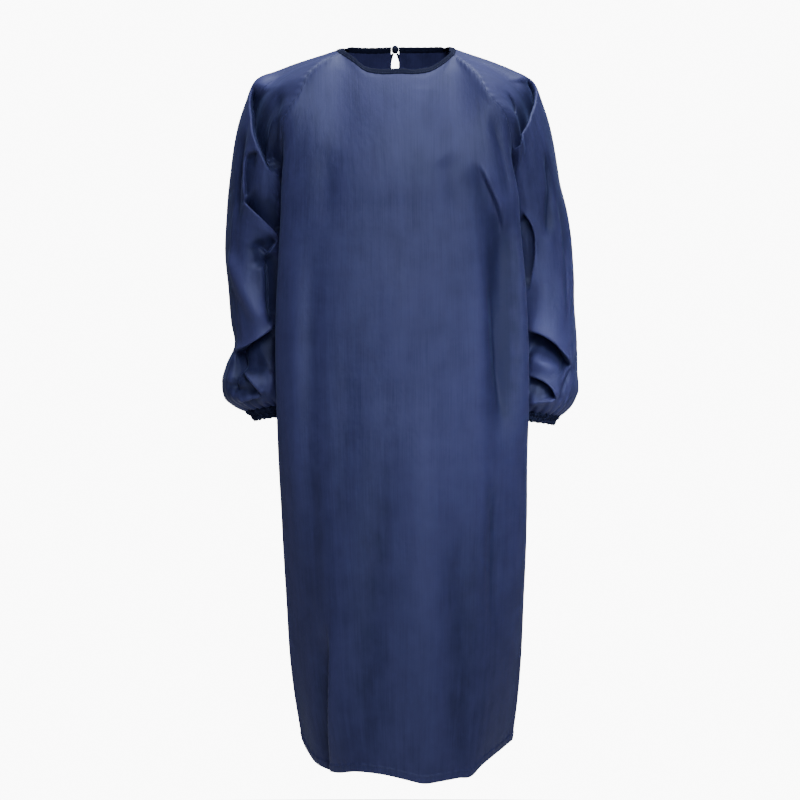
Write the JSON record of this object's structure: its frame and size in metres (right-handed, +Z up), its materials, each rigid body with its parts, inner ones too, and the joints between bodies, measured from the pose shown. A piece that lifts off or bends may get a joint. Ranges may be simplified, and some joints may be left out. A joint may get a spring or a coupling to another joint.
{
  "type": "sleeved work apron",
  "caption": "Long sleeved work apron in worn hollow form, with raglan sleeves, gathered elastic cuffs, bound neck and an open back tied at the neck.",
  "frame": {"origin": "middle of the neck opening at shoulder height, where the wearer's neck and shoulders hold the garment up", "axes": "+Z up, the front faces -Y, +X to the viewer's right"},
  "size_m": [0.556, 0.288, 1.1428],
  "materials": {
    "cloth": "coated semi-matt weave",
    "binding": "matt woven tape"
  },
  "bodies": {
    "root": {"front_panel": "cloth", "back_left": "cloth", "back_right": "cloth", "sleeve_left": "cloth", "sleeve_right": "cloth", "cuff_left": "cloth", "cuff_right": "cloth", "neck_binding": "binding", "neck_tie_left": "binding", "neck_tie_right": "binding", "neck_knot": "binding"}
  },
  "joints": []
}
